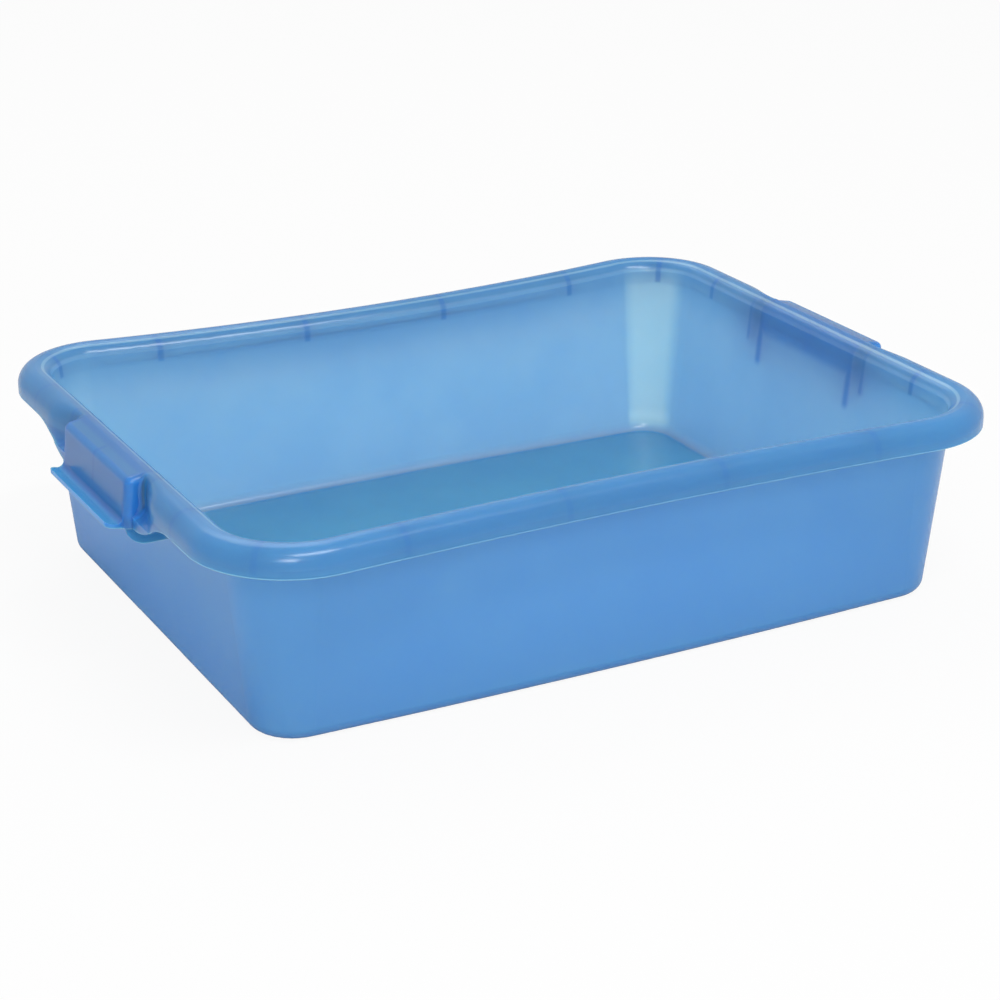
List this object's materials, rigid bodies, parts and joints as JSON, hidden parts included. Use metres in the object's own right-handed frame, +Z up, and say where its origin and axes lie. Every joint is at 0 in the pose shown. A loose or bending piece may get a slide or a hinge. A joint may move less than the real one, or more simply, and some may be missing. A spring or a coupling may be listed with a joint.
{
  "type": "food storage box",
  "caption": "Open shallow food storage box moulded in translucent plastic, with tapered walls, a rolled rim and flared finger grips at its short sides.",
  "frame": {"origin": "centre of the underside, on the surface that the box stands on", "axes": "+X along the length, from one grip to the other; +Y across the width; +Z up out of the open top"},
  "size_m": [0.542, 0.397, 0.127],
  "materials": {
    "box_plastic": "translucent blue polypropylene, smooth, with a soft sheen on the rim"
  },
  "bodies": {
    "root": {"storage_box": "box_plastic"}
  },
  "joints": []
}
